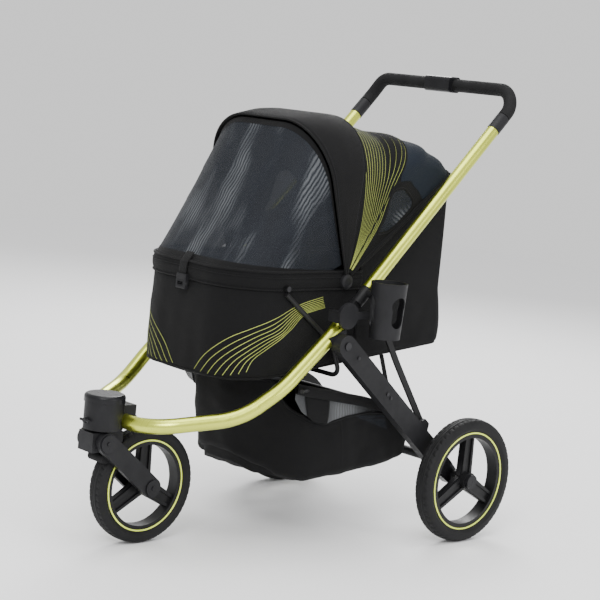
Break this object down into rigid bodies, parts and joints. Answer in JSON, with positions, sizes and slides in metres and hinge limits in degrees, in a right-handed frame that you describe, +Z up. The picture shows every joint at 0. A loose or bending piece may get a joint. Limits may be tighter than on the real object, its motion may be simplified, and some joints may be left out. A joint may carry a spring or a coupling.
{
  "type": "pet stroller",
  "caption": "Three-wheeled folding pet stroller: bent tube frame, mesh-hooded soft cabin, storage basket, cup holder, swivelling front wheel and padded push bar.",
  "frame": {"origin": "on the floor, under the middle of the whole object", "axes": "+X to the stroller's left, -Y forward, +Z up"},
  "size_m": [0.696, 1.056, 1.103],
  "materials": {
    "lime_tube": "satin anodised",
    "black_metal": "satin powder coat",
    "bolt_steel": "satin",
    "black_plastic": "matt, fine grain",
    "gloss_black_plastic": "semi gloss",
    "tyre_rubber": "matt rubber",
    "rim_plastic": "satin",
    "lime_stripe": "gloss",
    "grip_foam": "matt foam",
    "black_cloth": "woven",
    "dark_mesh": "open mesh",
    "pad_cloth": "soft woven"
  },
  "bodies": {
    "chassis": {"lower_frame_tube": "lime_tube", "fold_clevis_left": "black_metal", "fold_clevis_right": "black_metal", "fold_pins": "bolt_steel", "leg_brackets": "black_metal", "leg_pivot_bolts": "bolt_steel", "head_housing": "black_plastic", "head_cap": "gloss_black_plastic", "head_clamp_bolts": "bolt_steel", "basket": "black_cloth", "basket_rail": "black_metal", "cabin_tub": "black_cloth", "cabin_rim": "black_cloth", "cabin_rear_panel": "black_cloth", "cabin_floor_pad": "pad_cloth", "cabin_support_bar": "black_metal", "support_rivets": "bolt_steel", "hood_bow_pins": "black_plastic", "hood_rear_shell": "dark_mesh", "front_buckle": "black_plastic", "cup_holder": "black_plastic", "cup_holder_bracket": "black_plastic"},
    "swivel": {"swivel_yoke": "black_plastic", "swivel_stem": "bolt_steel"},
    "fork": {"fork_arm_left": "black_plastic", "fork_arm_right": "black_plastic", "fork_pivot_bolt": "gloss_black_plastic", "front_axle": "gloss_black_plastic", "fork_bumper": "grip_foam"},
    "front_wheel": {"front_wheel_tyre": "tyre_rubber", "front_wheel_rim": "rim_plastic", "front_wheel_stripes": "lime_stripe"},
    "rear_frame": {"rear_leg_left": "black_plastic", "rear_leg_right": "black_plastic", "leg_foot_left": "gloss_black_plastic", "leg_foot_right": "gloss_black_plastic", "strut_lugs": "black_plastic", "rear_cross_tube": "black_metal", "leg_screws": "bolt_steel", "rear_axle_left": "gloss_black_plastic", "rear_axle_right": "gloss_black_plastic"},
    "fold_struts": {"fold_struts": "black_metal"},
    "rear_wheel_left": {"rear_wheel_left_tyre": "tyre_rubber", "rear_wheel_left_rim": "rim_plastic", "rear_wheel_left_stripes": "lime_stripe"},
    "rear_wheel_right": {"rear_wheel_right_tyre": "tyre_rubber", "rear_wheel_right_rim": "rim_plastic", "rear_wheel_right_stripes": "lime_stripe"},
    "upper_frame": {"fold_tongue_left": "black_metal", "fold_tongue_right": "black_metal", "upper_tube_left": "lime_tube", "upper_tube_right": "lime_tube", "handle_bar": "black_metal", "handle_grips": "grip_foam", "handle_end_sockets": "black_plastic", "handle_console": "gloss_black_plastic"},
    "hood": {"hood_bow": "black_cloth"},
    "front_screen": {"front_screen": "dark_mesh"},
    "brake_pedal": {"brake_pedal": "black_plastic"},
    "swivel_lock": {"swivel_lock_lever": "black_plastic"}
  },
  "joints": [
    {"name": "upper_frame_fold", "type": "hinge", "parent": "chassis", "child": "upper_frame", "pos_m": [0, 0.02, 0.555], "axis": [1, 0, 0], "range_deg": [-125, 0]},
    {"name": "rear_frame_fold", "type": "hinge", "parent": "chassis", "child": "rear_frame", "pos_m": [0, -0.023, 0.485], "axis": [1, 0, 0], "range_deg": [-66, 0]},
    {"name": "strut_fold", "type": "hinge", "parent": "rear_frame", "child": "fold_struts", "pos_m": [0, 0.27074, 0.28595], "axis": [1, 0, 0], "range_deg": [0, 15]},
    {"name": "front_swivel", "type": "hinge", "parent": "chassis", "child": "swivel", "pos_m": [0, -0.475, 0.275], "axis": [0, 0, 1], "continuous": true},
    {"name": "front_suspension", "type": "hinge", "parent": "swivel", "child": "fork", "pos_m": [0, -0.488, 0.245], "axis": [1, 0, 0], "range_deg": [0, 2.5], "stiffness_Nm_per_rad": 100, "springref_deg": -8.59},
    {"name": "front_wheel_spin", "type": "hinge", "parent": "fork", "child": "front_wheel", "pos_m": [0, -0.354, 0.133], "axis": [1, 0, 0], "continuous": true},
    {"name": "rear_wheel_left_spin", "type": "hinge", "parent": "rear_frame", "child": "rear_wheel_left", "pos_m": [0.318, 0.377, 0.15], "axis": [1, 0, 0], "continuous": true},
    {"name": "rear_wheel_right_spin", "type": "hinge", "parent": "rear_frame", "child": "rear_wheel_right", "pos_m": [-0.318, 0.377, 0.15], "axis": [1, 0, 0], "continuous": true},
    {"name": "hood_fold", "type": "hinge", "parent": "chassis", "child": "hood", "pos_m": [0, 0.027, 0.62], "axis": [1, 0, 0], "range_deg": [-14, 0]},
    {"name": "front_screen_lift", "type": "hinge", "parent": "hood", "child": "front_screen", "pos_m": [0, -0.0845, 0.95914], "axis": [1, 0, 0], "range_deg": [-70, 0]},
    {"name": "brake_pedal_press", "type": "hinge", "parent": "rear_frame", "child": "brake_pedal", "pos_m": [0, 0.34246, 0.18936], "axis": [1, 0, 0], "range_deg": [-18, 0]},
    {"name": "swivel_lock_pull", "type": "slide", "parent": "chassis", "child": "swivel_lock", "axis": [0, -1, 0], "range_m": [0, 0.004]}
  ],
  "couplings": [
    {"joint": "rear_frame_fold", "follows": "upper_frame_fold", "ratio": 0.52},
    {"joint": "strut_fold", "follows": "upper_frame_fold", "ratio": -0.112}
  ]
}
